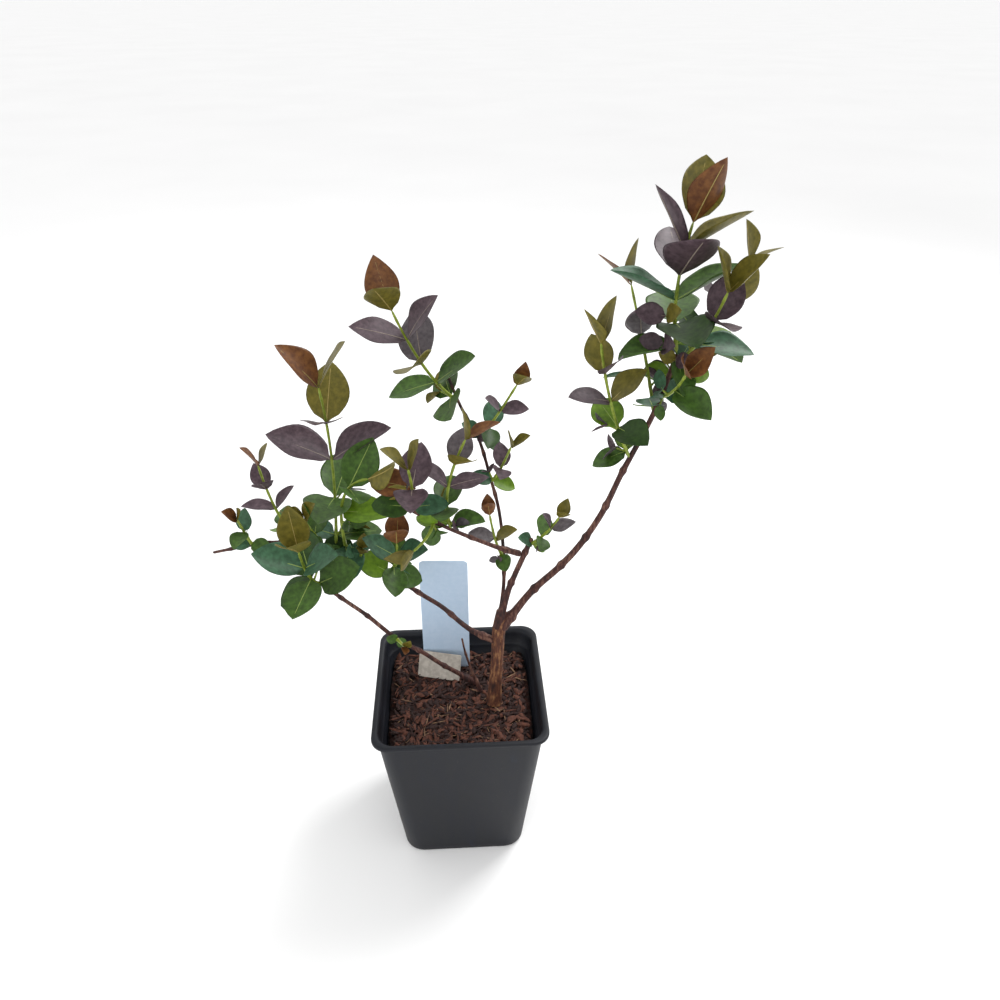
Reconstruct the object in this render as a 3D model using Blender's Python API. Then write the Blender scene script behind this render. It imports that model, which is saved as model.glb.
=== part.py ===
"""Young honeyberry bush in a square nursery pot, one solid for each piece.

The model is laid out in millimetres in the part's own frame: +Z up, the origin
at the centre of the pot's underside, and the pot's front facing -Y. Meshes are
turned to metres when they are made.

A limb is a tapering tube along a smooth curve. A shoot is one stem with leaves
in opposite pairs, each pair turned a quarter turn from the one below it, as on
every honeyberry; its leaves and side twigs are fused to it as one solid.
"""
import math
import random
from collections import namedtuple

import bmesh
import bpy
import numpy as np
from mathutils.bvhtree import BVHTree

MM = 0.001              # metres in a millimetre
GAP = 0.3               # clear space between two pieces that touch, mm
WORLD_UP = np.array((0.0, 0.0, 1.0))

# Pot: a square 9 cm nursery pot, tapered, with a stepped rim
POT_HEIGHT = 96.5
RIM_HALF = 45.0         # half of the rim's outer width
NECK_HALF = 42.4        # half of the wall's width just under the rim
BASE_HALF = 33.4
WALL = 1.2
FLOOR = 1.8
LIP = 2.2               # height of the rim's band
LEDGE_DROP = 9.0        # stacking ledge below the rim, inside
LEDGE_STEP = 0.8
RIM_CORNER = 9.0        # radius of the rim's corners
BASE_CORNER = 11.0
CORNER_POINTS = 4       # points round each corner
DRAIN_RADIUS = 3.6
DRAIN_INSET = 12.0      # drain hole's centre from the base's edge
DRAIN_SIDES = 8

# Filling
SOIL_TOP = 84.0
SOIL_DIP = 1.6          # depth of the hollows between pieces of loose bark
SOIL_RINGS = 7
SOIL_FLAT_REACH = 13.0  # level soil round whatever stands in it

# Label and card pushed into the soil behind the stems
LABEL_WIDTH = 26.0
LABEL_HEIGHT = 73.0
LABEL_THICK = 0.8
LABEL_FOOT = (-7.0, 25.0)
LABEL_LEAN = 2.0        # degrees away from the front
LABEL_TURN = -3.0       # degrees about the vertical
CARD_SIZE = (24.0, 0.9, 15.0)
CARD_FOOT = (-12.0, 15.5)
CARD_LEAN = 28.0
CARD_TURN = -14.0

# Trunk: radius at shares of its height, from the root flare to the fork
TRUNK_PATH = ((18, -4, SOIL_TOP + GAP), (19.2, -4, 100), (20.3, -2, 117), (21.4, 0, 131), (23, 2, 144))
TRUNK_SHAPE = ((0.0, 4.6), (0.07, 3.9), (0.2, 3.2), (0.5, 3.0), (0.8, 3.1), (1.0, 3.9))
TRUNK_SIDES = 9
TRUNK_LOBES = 3         # low ribs of the root flare
TRUNK_LOBE_DEPTH = 0.16

Limb = namedtuple("Limb", "parent seat foot_radius tip_radius path")
# A limb that stands on the fork has a seat, its place across the fork's flat top.
# One that stands in the soil has parent "soil". Any other leaves the parent's side.
LIMBS = {
    "bough_right": Limb("trunk", (1.95, -0.1), 1.85, 1.05, (
        (37, 1, 155), (50, -2, 172), (60, -4, 187), (69, -7, 207), (76, -10, 230), (84, -12, 252),
        (89, -13, 268), (94, -13, 288))),
    "stem_centre": Limb("trunk", (-2.0, -0.5), 1.7, 1.25, (
        (26, 1, 157), (29, 0, 167), (33, -1, 179), (37, -2, 191))),
    "stem_back": Limb("trunk", (-0.3, 2.5), 0.95, 0.75, (
        (24.5, 10, 160), (23, 18, 190), (18, 26, 211), (13, 32, 228), (5, 38, 242), (-1, 44, 256))),
    "bough_mid_left": Limb("stem_centre", None, 1.0, 0.75, (
        (32, -1, 181), (18, -6, 190), (-1, -12, 204), (-14, -18, 216), (-18, -20, 220))),
    "bough_low_left": Limb("trunk", None, 1.35, 0.7, (
        (20.8, 0, 124), (6, 2, 132), (-7, 4, 145), (-17, 6, 152), (-35, 10, 164), (-48, 13, 170),
        (-60, 17, 175), (-79, 22, 176), (-95, 26, 174), (-112, 28, 170), (-126, 30, 166))),
    "bough_ground_left": Limb("soil", None, 1.3, 0.85, (
        (9, 11, SOIL_TOP + GAP), (0, 6, 97), (-9, 1, 109), (-19, -3, 122), (-31, -8, 136),
        (-43, -14, 156), (-52, -20, 171), (-61, -26, 186))),
    "twig_dead": Limb("soil", None, 0.8, 0.5, (
        (12, 4, SOIL_TOP + GAP), (8, 5, 96), (4, 4, 112), (2, 2, 126))),
}
LIMB_SIDES = 6
LIMB_STEP = 8.0         # distance between the rings of a limb

Shoot = namedtuple("Shoot", "parent path pairs leaf roll twigs young")
# path: foot, bend and tip of the stem. pairs: pairs of leaves. leaf: longest leaf, mm.
# roll: the lowest pair's turn about the stem from the left-right line, degrees.
# twigs: side twigs with small leaves. young: share of the shoot that is still unfolding.
SHOOTS = {
    "shoot_leader": Shoot("bough_right", ((94, -13, 288), (91, -13, 314), (96, -8, 341)), 6, 31, 0, 2, 0.3),
    "shoot_right_front": Shoot("bough_right", ((93, -13, 283), (101, -22, 299), (106, -30, 320)), 4, 23, 80, 2, 0.3),
    "shoot_right_back": Shoot("bough_right", ((91, -13, 275), (115, 12, 291), (136, 34, 313)), 4, 22, 70, 2, 0.5),
    "shoot_right_inner": Shoot("bough_right", ((87, -13, 261), (84, -2, 281), (77, 10, 312)), 4, 20, 90, 2, 0.3),
    "shoot_right_low": Shoot("bough_right", ((79, -11, 238), (67, -20, 269), (60, -24, 299)), 5, 20, 20, 2, 0.4),
    "shoot_right_heart": Shoot("bough_right", ((89, -13, 269), (91, -25, 277), (92, -36, 289)), 3, 19, 30, 2, 0.0),
    "shoot_top_left": Shoot("stem_back", ((3, 39, 245), (-12, 35, 265), (-25, 26, 297)), 5, 27, 90, 1, 0.4),
    "shoot_centre": Shoot("bough_mid_left", ((-1, -12, 204), (-2, -16, 228), (7, -18, 255)), 5, 19, 0, 2, 0.4),
    "shoot_back_high": Shoot("stem_back", ((13, 32, 228), (20, 26, 240), (31, 14, 265)), 4, 15, 0, 2, 0.4),
    "shoot_back_mid": Shoot("stem_back", ((19, 24, 208), (23, 18, 218), (28, 12, 234)), 3, 15, 0, 1, 0.4),
    "shoot_back_low": Shoot("stem_back", ((24, 13, 170), (20, 6, 185), (17, 2, 203)), 3, 13, 90, 1, 0.3),
    "shoot_spur": Shoot("stem_centre", ((36, -2, 187), (43, -6, 196), (49, -10, 208)), 4, 12, 0, 1, 0.6),
    "shoot_left_high": Shoot("bough_low_left", ((-60, 17, 175), (-56, 13, 226), (-57, 6, 270)), 5, 30, 0, 2, 0.3),
    "shoot_left_front": Shoot("bough_low_left", ((-54, 15, 172), (-51, 0, 214), (-36, -12, 232)), 4, 25, 90, 2, 0.0),
    "shoot_mid_tip": Shoot("bough_mid_left", ((-18, -20, 220), (-17, -26, 234), (-18, -30, 247)), 3, 20, 0, 2, 0.2),
    "shoot_mid_under": Shoot("bough_mid_left", ((-9, -16, 211), (-12, -25, 209), (-18, -33, 207)), 2, 14, 0, 1, 0.0),
    "shoot_far_left": Shoot("bough_low_left", ((-79, 22, 176), (-88, 24, 194), (-93, 22, 223)), 5, 16, 20, 2, 0.4),
    "shoot_far_tip": Shoot("bough_low_left", ((-104, 27, 172), (-104, 18, 186), (-104, 10, 199)), 3, 13, 0, 1, 0.0),
    "shoot_low_left": Shoot("bough_ground_left", ((-61, -26, 186), (-64, -34, 197), (-65, -42, 216)), 4, 26, 0, 2, 0.0),
    "shoot_left_inner": Shoot("bough_low_left", ((-66, 18, 176), (-67, 6, 191), (-69, -4, 206)), 3, 17, 0, 2, 0.0),
    "shoot_cluster": Shoot("bough_low_left", ((-35, 10, 164), (-29, -2, 179), (-27, -8, 195)), 4, 20, 0, 2, 0.0),
    "shoot_low_small": Shoot("bough_low_left", ((-48, 13, 170), (-46, 4, 180), (-44, -2, 188)), 2, 11, 0, 0, 0.0),
    "shoot_ground_small": Shoot("bough_ground_left", ((-31, -8, 136), (-28, -14, 138), (-26, -20, 141)), 2, 8, 0, 0, 0.0),
}
STEM_FOOT_RADIUS = 0.85
STEM_TIP_RADIUS = 0.5
STEM_STEP = 10.0         # distance between the rings of a stem
LEAF_THICK = 0.6
LEAF_FOLD = 0.10        # how far the edges stand above the midrib, share of the width
LEAF_STATIONS = ((0.28, 0.9), (0.66, 1.0))     # share of the length, share of the full width
LEAF_ROOT = 0.15        # from the stem's axis, so a pair's roots stay apart inside the stem
OPEN_LOW = 84.0         # angle between the stem and its lowest pair of leaves, degrees
OPEN_TOP = 20.0         # the same for the upright pair at the tip
TURNS_TRIED = (0, 14, -14, 28, -28, 42, -42)
SEED = 417

Leaf = namedtuple("Leaf", "root along up length width curl age")


def unit(vector):
    """The vector at length one."""
    vector = np.asarray(vector, float)
    return vector / np.linalg.norm(vector)


def smooth_path(points, step):
    """Catmull-Rom curve through the points, with a point about every step."""
    points = np.asarray(points, float)
    ends = np.vstack((2 * points[0] - points[1], points, 2 * points[-1] - points[-2]))
    curve = []
    for a, b, c, d in zip(ends, ends[1:], ends[2:], ends[3:]):
        count = max(1, round(np.linalg.norm(c - b) / step))
        for t in np.arange(count) / count:
            curve.append(0.5 * (2 * b + (c - a) * t + (2 * a - 5 * b + 4 * c - d) * t**2
                                + (3 * b - a - 3 * c + d) * t**3))
    curve.append(points[-1])
    return np.array(curve)


def stem_point(path, t):
    """Point and heading at the share t of a shoot's stem, a quadratic curve."""
    foot, bend, tip = (np.asarray(p, float) for p in path)
    bend = 2 * bend - (foot + tip) / 2
    point = (1 - t)**2 * foot + 2 * t * (1 - t) * bend + t**2 * tip
    heading = unit(2 * (1 - t) * (bend - foot) + 2 * t * (tip - bend))
    return point, heading


def tube(path, radii, sides, foot_normal=None, lobes=None):
    """Closed tube along the path. The first ring can be cut flat by a given plane."""
    count = len(path)
    headings = np.gradient(path, axis=0)
    across = unit(np.cross(headings[0], (0.31, 0.87, 0.39)))
    verts = []
    for i in range(count):
        heading = unit(headings[i])
        if i == 0 and foot_normal is not None:
            heading = unit(foot_normal)
        across = unit(across - heading * np.dot(across, heading))
        other = np.cross(heading, across)
        for k in range(sides):
            angle = 2 * math.pi * k / sides
            radius = radii[i] * (1 + (lobes[i] * math.cos(TRUNK_LOBES * angle) if lobes is not None else 0))
            verts.append(path[i] + radius * (math.cos(angle) * across + math.sin(angle) * other))
    faces = []
    for i in range(count - 1):
        for k in range(sides):
            low, high = i * sides, (i + 1) * sides
            after = (k + 1) % sides
            faces.append((low + k, low + after, high + after, high + k))
    faces.append(tuple(range(sides))[::-1])
    faces.append(tuple(range((count - 1) * sides, count * sides)))
    return np.array(verts), faces


def room_to(points, limb):
    """Smallest distance from the points to a limb, kept as centres and radii."""
    centres, radii = limb
    distance = np.linalg.norm(points[:, None] - centres[None], axis=2)
    return float((distance - radii[None]).min())


def leave_side(path, radius, limb):
    """Cut off the path's start until its end cap is clear of the limb it grows from."""
    fine = smooth_path(path, 0.25)
    angles = np.linspace(0, 2 * math.pi, 12, endpoint=False)
    for i in range(len(fine) - 8):
        heading = unit(fine[i + 1] - fine[i])
        across = unit(np.cross(heading, (0.31, 0.87, 0.39)))
        other = np.cross(heading, across)
        cap = fine[i] + radius * (np.cos(angles)[:, None] * across + np.sin(angles)[:, None] * other)
        if room_to(np.vstack((cap, fine[i:i + 1])), limb) >= GAP:
            return fine[i:]
    raise ValueError("a path never clears its parent")


def thin_out(path, step):
    """Keep a point about every step of a fine path, and both its ends."""
    length = np.concatenate(([0], np.cumsum(np.linalg.norm(np.diff(path, axis=0), axis=1))))
    count = max(2, round(length[-1] / step) + 1)
    wanted = np.linspace(0, length[-1], count)
    return np.stack([np.interp(wanted, length, path[:, axis]) for axis in range(3)], axis=1)


def material(name, colour, roughness):
    """Plain Principled material."""
    made = bpy.data.materials.new(name)
    made.use_nodes = True
    shader = made.node_tree.nodes["Principled BSDF"]
    shader.inputs["Base Color"].default_value = (*colour, 1.0)
    shader.inputs["Roughness"].default_value = roughness
    shader.inputs["Metallic"].default_value = 0.0
    made.diffuse_color = (*colour, 1.0)
    return made


def mesh_object(name, verts, faces, finish=None, collection=None):
    """Object from points in millimetres, its faces turned outwards."""
    mesh = bpy.data.meshes.new(name)
    mesh.from_pydata([tuple(v) for v in np.asarray(verts) * MM], [], faces)
    shape = bmesh.new()
    shape.from_mesh(mesh)
    bmesh.ops.recalc_face_normals(shape, faces=shape.faces)
    bmesh.ops.triangulate(shape, faces=shape.faces)
    if shape.calc_volume(signed=True) < 0:
        bmesh.ops.reverse_faces(shape, faces=shape.faces)
    shape.to_mesh(mesh)
    shape.free()
    made = bpy.data.objects.new(name, mesh)
    (collection or bpy.context.scene.collection).objects.link(made)
    if finish:
        mesh.materials.append(finish)
    return made


def apply_modifiers(target):
    """Replace the object's mesh by its evaluated one and drop the modifiers."""
    seen = target.evaluated_get(bpy.context.evaluated_depsgraph_get())
    target.data = bpy.data.meshes.new_from_object(seen)
    target.modifiers.clear()


def keep_largest(target):
    """Drop loose scraps and the skins of sealed hollows: keep the largest shell."""
    shape = bmesh.new()
    shape.from_mesh(target.data)
    left = set(shape.faces)
    shells = []
    while left:
        front = [left.pop()]
        shell = set(front)
        while front:
            here = front.pop()
            near = {face for edge in here.edges for face in edge.link_faces} & left
            left -= near
            shell |= near
            front.extend(near)
        shells.append(shell)
    shells.sort(key=len)
    scraps = [face for shell in shells[:-1] for face in shell]
    bmesh.ops.delete(shape, geom=scraps, context="FACES")
    shape.to_mesh(target.data)
    shape.free()


def rounded_square(half, corner, height):
    """Ring of points round a square with round corners."""
    ring = []
    for quarter in range(4):
        turn = math.pi / 2 * quarter
        middle = np.array((half - corner, half - corner))
        for k in range(CORNER_POINTS):
            angle = math.pi / 2 * k / (CORNER_POINTS - 1)
            x, y = middle + corner * np.array((math.cos(angle), math.sin(angle)))
            ring.append((x * math.cos(turn) - y * math.sin(turn),
                         x * math.sin(turn) + y * math.cos(turn), height))
    return ring


def loft(rings):
    """Closed solid through rings of equal count, with a flat cap at each end."""
    count = len(rings[0])
    verts = [point for ring in rings for point in ring]
    faces = []
    for i in range(len(rings) - 1):
        for k in range(count):
            after = (k + 1) % count
            faces.append((i * count + k, i * count + after, (i + 1) * count + after, (i + 1) * count + k))
    faces.append(tuple(range(count))[::-1])
    faces.append(tuple(range(len(verts) - count, len(verts))))
    return verts, faces


def wall_half(height):
    """Half width of the pot's outer wall at a height."""
    return BASE_HALF + (NECK_HALF - BASE_HALF) * height / (POT_HEIGHT - LIP)


def wall_corner(height):
    """Radius of the outer wall's corners at a height."""
    return BASE_CORNER + (RIM_CORNER - BASE_CORNER) * height / POT_HEIGHT


def make_pot():
    """Tapered shell with a rim band, a stacking ledge inside and drain holes in the floor."""
    neck = POT_HEIGHT - LIP
    ledge = POT_HEIGHT - LEDGE_DROP
    outside = ((BASE_HALF - 1.2, 0.0), (BASE_HALF, 1.2), (wall_half(neck), neck), (RIM_HALF - 0.4, neck),
               (RIM_HALF, neck + 0.5), (RIM_HALF, POT_HEIGHT - 0.5), (RIM_HALF - 0.5, POT_HEIGHT))
    inside = ((RIM_HALF - 2.0, POT_HEIGHT), (wall_half(neck) - WALL, neck - 0.5),
              (wall_half(ledge) - WALL, ledge), (wall_half(ledge) - WALL - LEDGE_STEP, ledge - 0.6),
              (wall_half(FLOOR) - WALL - 0.6, FLOOR + 1.0), (wall_half(FLOOR) - WALL - 1.6, FLOOR))
    rings = [rounded_square(half, wall_corner(z), z) for half, z in outside]
    rings += [rounded_square(half, wall_corner(z) - WALL, z) for half, z in inside]
    finish = material("black_polypropylene", (0.012, 0.014, 0.022), 0.45)
    pot = mesh_object("pot", *loft(rings), finish)
    place = BASE_HALF - DRAIN_INSET
    for i, (x, y) in enumerate(((1, 1), (-1, 1), (-1, -1), (1, -1))):
        low, high = ([(x * place + DRAIN_RADIUS * math.cos(a), y * place + DRAIN_RADIUS * math.sin(a), z)
                      for a in np.linspace(0, 2 * math.pi, DRAIN_SIDES, endpoint=False)] for z in (-2.0, 6.0))
        cutter = mesh_object(f"drain_cutter_{i}", *loft([low, high]))
        cutter.hide_render = True
        cutter.display_type = "WIRE"
        hole = pot.modifiers.new(f"drain_{i}", "BOOLEAN")
        hole.operation = "DIFFERENCE"
        hole.solver = "EXACT"
        hole.object = cutter
    return pot


def soil_half(height):
    """Half width of the filling, clear of the pot's wall and of its inner ledge."""
    return wall_half(height) - WALL - LEDGE_STEP - 0.6 - GAP


def make_soil(feet):
    """Filling of the pot: loose bark with shallow hollows, level round whatever stands in it."""
    draw = random.Random(SEED)
    rings = [rounded_square(soil_half(z), wall_corner(z) - WALL, z) for z in (FLOOR + 1.5, SOIL_TOP)]
    for k in range(1, SOIL_RINGS):
        share = 1 - k / SOIL_RINGS
        ring = []
        for x, y, z in rounded_square(soil_half(SOIL_TOP) * share, wall_corner(SOIL_TOP) * share, SOIL_TOP):
            room = min(math.hypot(x - a, y - b) for a, b in feet)
            ring.append((x, y, z - (SOIL_DIP * draw.random() if room > SOIL_FLAT_REACH else 0.0)))
        rings.append(ring)
    return mesh_object("compost", *loft(rings), material("bark_compost", (0.06, 0.022, 0.014), 0.95))


def make_plate(name, foot, size, lean, turn, finish):
    """Thin upright plate: it stands on its lower edge, leans back and turns."""
    width, thick, height = size
    tilt, spin = math.radians(lean), math.radians(turn)
    corners = []
    for z in (0.0, height):
        for x, y in ((-width / 2, 0.0), (width / 2, 0.0), (width / 2, thick), (-width / 2, thick)):
            across, back = x, y * math.cos(tilt) + z * math.sin(tilt)
            rise = z * math.cos(tilt) - y * math.sin(tilt) + thick * math.sin(tilt)
            corners.append((foot[0] + across * math.cos(spin) - back * math.sin(spin),
                            foot[1] + across * math.sin(spin) + back * math.cos(spin),
                            SOIL_TOP + GAP + rise))
    return mesh_object(name, *loft([corners[:4], corners[4:]]), finish)


def make_trunk(finish):
    """Trunk from a flat cut at the soil, with a ribbed flare, up to its fork."""
    path = smooth_path(TRUNK_PATH, LIMB_STEP)
    shares = np.linspace(0, 1, len(path))
    radii = np.interp(shares, *zip(*TRUNK_SHAPE))
    lobes = TRUNK_LOBE_DEPTH * np.clip(1 - shares / 0.3, 0, 1)
    trunk = mesh_object("trunk", *tube(path, radii, TRUNK_SIDES, WORLD_UP, lobes), finish)
    return trunk, path, radii


def make_limbs(finish):
    """Every bough and stem as one tapering tube, with what is needed to grow from it."""
    trunk, path, radii = make_trunk(finish)
    limbs = {"trunk": dense(path, radii)}
    solids = {"trunk": trunk}
    fork = path[-1]
    up = unit(path[-1] - path[-2])
    right = unit(np.cross((0, 1, 0), up))
    back = np.cross(up, right)
    for name, limb in LIMBS.items():
        normal = None
        if limb.seat:
            start = fork + limb.seat[0] * right + limb.seat[1] * back + GAP * up
            points = smooth_path((start, *limb.path), 0.25)
            normal = up
        elif limb.parent == "soil":
            points = smooth_path(limb.path, 0.25)
            normal = WORLD_UP
        else:
            points = leave_side(limb.path, limb.foot_radius, limbs[limb.parent])
        points = thin_out(points, LIMB_STEP)
        sizes = np.linspace(limb.foot_radius, limb.tip_radius, len(points))
        solids[name] = mesh_object(name, *tube(points, sizes, LIMB_SIDES, normal), finish)
        limbs[name] = dense(points, sizes)
    return solids, limbs


def dense(path, radii):
    """A limb as closely spaced centres and radii, to measure distances to.

    The last centre lies a radius short of the tip, so the round end reaches just the tip's flat cap.
    """
    last = len(path) - 1 - radii[-1] / np.linalg.norm(path[-1] - path[-2])
    fine = np.linspace(0, last, 8 * len(path))
    steps = np.arange(len(path))
    centres = np.stack([np.interp(fine, steps, path[:, axis]) for axis in range(3)], axis=1)
    return centres, np.interp(fine, steps, radii)


def leaf_points(leaf, extra=0.0):
    """Blade with a diamond section: folded along its midrib and curling down to its tip."""
    along = unit(leaf.along)
    up = unit(leaf.up - along * np.dot(leaf.up, along))
    side = np.cross(along, up)
    thick = LEAF_THICK / 2 + extra
    root = leaf.root + along * LEAF_ROOT
    verts = [root]
    for share, wide in LEAF_STATIONS:
        middle = root + along * leaf.length * share - up * leaf.curl * leaf.length * share**2
        half = wide * leaf.width / 2 + extra
        edge = up * LEAF_FOLD * leaf.width * wide
        verts += [middle - side * half + edge, middle + up * thick, middle + side * half + edge, middle - up * thick]
    verts.append(root + along * (leaf.length + extra) - up * leaf.curl * leaf.length)
    tip = len(verts) - 1
    faces = []
    for k in range(4):
        after = (k + 1) % 4
        faces.append((0, 1 + after, 1 + k))
        for ring in range(1, tip - 4, 4):
            faces.append((ring + k, ring + after, ring + 4 + after, ring + 4 + k))
        faces.append((tip - 4 + k, tip - 4 + after, tip))
    return verts, faces


def pair_of_leaves(point, heading, roll, angle, length, width, age, draw):
    """Two opposite leaves of one node: each leans out from the stem by the given angle."""
    level = unit(np.cross((0, 1, 0.2), heading))
    other = np.cross(heading, level)
    pair = []
    for half_turn in (0.0, math.pi):
        turn = math.radians(roll) + half_turn + draw.uniform(-0.25, 0.25)
        out = math.cos(turn) * level + math.sin(turn) * other
        lean = math.radians(angle + draw.uniform(-9, 9))
        along = unit(math.cos(lean) * heading + math.sin(lean) * out)
        size = draw.uniform(0.88, 1.06)
        pair.append(Leaf(point, along, heading - 0.1 * out, size * length, size * width,
                         draw.uniform(0.02, 0.14), age))
    return pair


def leaves_of(shoot, draw):
    """Leaf pairs up the stem, each a quarter turn on, the last one upright at the tip."""
    leaves = []
    for k in range(shoot.pairs):
        t = 0.08 + 0.89 * k / max(1, shoot.pairs - 1)
        point, heading = stem_point(shoot.path, t)
        angle = OPEN_LOW + (OPEN_TOP - OPEN_LOW) * t**1.5
        length = shoot.leaf * (0.8 + 0.9 * t * (1 - t)) if t < 0.5 else shoot.leaf * (1.03 - 0.1 * (2 * t - 1))
        width = length * (0.58 - 0.1 * t)
        leaves += pair_of_leaves(point, heading, shoot.roll + 90 * k, angle, length, width, t, draw)
    return leaves


def side_twigs(shoot, draw):
    """Short twigs in the lowest leaf axils, each with one pair of small leaves."""
    twigs = []
    for k in range(shoot.twigs):
        point, heading = stem_point(shoot.path, 0.08 + 0.2 * k)
        turn = math.radians(shoot.roll + 90 * k + draw.choice((40, 140, 220, 320)))
        level = unit(np.cross((0, 1, 0.2), heading))
        out = math.cos(turn) * level + math.sin(turn) * np.cross(heading, level)
        tip = point + draw.uniform(0.2, 0.3) * shoot.leaf * unit(out + 0.6 * heading)
        twigs.append((point, tip, draw.uniform(0.36, 0.46) * shoot.leaf, math.degrees(turn) + 90))
    return twigs


def turned(leaf, degrees):
    """The leaf swung about the up direction through its root."""
    angle = math.radians(degrees)
    x, y, z = leaf.along
    swung = np.array((x * math.cos(angle) - y * math.sin(angle), x * math.sin(angle) + y * math.cos(angle), z))
    return leaf._replace(along=swung)


def tree_of(verts, faces):
    """Search tree of a shape, in millimetres."""
    return BVHTree.FromPolygons([tuple(v) for v in verts], faces)


def place_leaf(leaf, taken):
    """The leaf as it is, or swung aside where it would touch another piece, or None."""
    for degrees in TURNS_TRIED:
        trial = turned(leaf, degrees)
        tree = tree_of(*leaf_points(trial, GAP))
        if not any(tree.overlap(other) for other in taken):
            return trial
    return None


def stem_shape(shoot, limbs):
    """Three-sided stem of a shoot, from just clear of its bough to its tip."""
    path = np.array([stem_point(shoot.path, t)[0] for t in np.linspace(0, 1, 12)])
    path = thin_out(leave_side(path, STEM_FOOT_RADIUS, limbs[shoot.parent]), STEM_STEP)
    return tube(path, np.linspace(STEM_FOOT_RADIUS, STEM_TIP_RADIUS, len(path)), 3)


def make_shoot(name, shoot, stem_verts, stem_faces, taken, finish):
    """One mass of foliage: the stem, its side twigs and leaves, joined by one union."""
    draw = random.Random(f"{SEED} {name}")
    stem = mesh_object(name, stem_verts, stem_faces, finish)
    blades = bpy.data.collections.new(f"{name}_blades")
    leaves = leaves_of(shoot, draw)
    for i, (point, tip, size, roll) in enumerate(side_twigs(shoot, draw)):
        verts, faces = tube(np.array((point, tip)), (0.55, 0.4), 3)
        if any(tree_of(verts, faces).overlap(other) for other in taken):
            continue
        mesh_object(f"{name}_twig_{i}", verts, faces, collection=blades)
        leaves += pair_of_leaves(tip, unit(tip - point), roll, 50, size, 0.55 * size, 0.5, draw)
    kept = [leaf for leaf in (place_leaf(leaf, taken) for leaf in leaves) if leaf]
    for i, leaf in enumerate(kept):
        mesh_object(f"{name}_leaf_{i}", *leaf_points(leaf), collection=blades)
    bpy.context.scene.collection.children.link(blades)
    union = stem.modifiers.new("union", "BOOLEAN")
    union.operation = "UNION"
    union.solver = "EXACT"
    union.operand_type = "COLLECTION"
    union.collection = blades
    apply_modifiers(stem)
    for blade in list(blades.objects):
        bpy.data.objects.remove(blade)
    bpy.data.collections.remove(blades)
    keep_largest(stem)
    return stem


def tree_of_object(made):
    """Search tree of a finished object, in millimetres."""
    verts = [np.array(v.co) / MM for v in made.data.vertices]
    return tree_of(verts, [tuple(p.vertices) for p in made.data.polygons])


def main():
    """Build every piece of the potted bush."""
    for old in list(bpy.data.objects):
        bpy.data.objects.remove(old)
    make_pot()
    feet = [TRUNK_PATH[0][:2], LIMBS["bough_ground_left"].path[0][:2], LIMBS["twig_dead"].path[0][:2],
            CARD_FOOT]
    feet += [(LABEL_FOOT[0] + share * LABEL_WIDTH, LABEL_FOOT[1]) for share in (-0.5, 0.0, 0.5)]
    make_soil(feet)
    make_plate("plant_label", LABEL_FOOT, (LABEL_WIDTH, LABEL_THICK, LABEL_HEIGHT), LABEL_LEAN, LABEL_TURN,
               material("pale_blue_plastic", (0.62, 0.74, 0.86), 0.5))
    make_plate("label_card", CARD_FOOT, CARD_SIZE, CARD_LEAN, CARD_TURN,
               material("grey_cream_plastic", (0.62, 0.58, 0.52), 0.7))
    solids, limbs = make_limbs(material("honeyberry_bark", (0.085, 0.035, 0.022), 0.85))
    taken = [tree_of_object(made) for made in solids.values()]
    foliage = material("honeyberry_leaf", (0.09, 0.16, 0.06), 0.5)
    stems = {name: stem_shape(shoot, limbs) for name, shoot in SHOOTS.items()}
    trees = {name: tree_of(*stem) for name, stem in stems.items()}
    for name, shoot in SHOOTS.items():
        others = taken + [tree for other, tree in trees.items() if other != name]
        mass = make_shoot(name, shoot, *stems[name], others, foliage)
        trees[name] = tree_of_object(mass)


main()
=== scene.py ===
# %% [markdown]
# A young honeyberry bush in its square nursery pot, dressed for a render.
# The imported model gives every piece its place. This lesson grows finer pieces over it:
# bark with relief, leaves with folds and midribs, loose bark in the pot. Each is a
# formula on a grid of two parameters, worked out with numpy as whole arrays.

# %% Load the frame
import math
import random
from collections import namedtuple

import bpy
import numpy as np
from mathutils import Matrix
from mathutils.bvhtree import BVHTree


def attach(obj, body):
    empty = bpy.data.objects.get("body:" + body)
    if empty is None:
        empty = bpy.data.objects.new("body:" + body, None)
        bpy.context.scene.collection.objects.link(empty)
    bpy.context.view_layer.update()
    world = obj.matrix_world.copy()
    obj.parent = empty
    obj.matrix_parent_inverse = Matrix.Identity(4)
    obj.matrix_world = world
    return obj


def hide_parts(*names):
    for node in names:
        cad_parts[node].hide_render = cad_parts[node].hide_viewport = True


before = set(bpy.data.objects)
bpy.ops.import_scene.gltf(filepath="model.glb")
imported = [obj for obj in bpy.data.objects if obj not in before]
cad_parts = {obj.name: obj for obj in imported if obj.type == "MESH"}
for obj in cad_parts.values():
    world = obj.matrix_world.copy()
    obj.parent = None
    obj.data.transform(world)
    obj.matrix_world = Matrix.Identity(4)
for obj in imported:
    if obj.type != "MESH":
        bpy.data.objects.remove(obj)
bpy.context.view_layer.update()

MM = 0.001              # metres in a millimetre
GAP = 0.3               # clear space between pieces, mm
SEED = 417

# %% [markdown]
# The camera stands in front of the pot and looks down on it at 32 degrees, close enough
# for the crown to look larger than the pot. Its place was found by fitting the pot's rim
# and walls to the picture.

# %% Camera
CAMERA_PLACE = (3.4, -330.7, 417.9)     # mm
CAMERA_TURN = -3.2                      # degrees about the vertical
CAMERA_DROP = 31.9                      # degrees below the horizon
CAMERA_LENS = 29.98                     # mm, on a sensor 36 mm wide


def unit(vector):
    """The vector, or each vector of an array, at length one."""
    vector = np.asarray(vector, float)
    return vector / np.linalg.norm(vector, axis=-1, keepdims=True)


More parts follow.
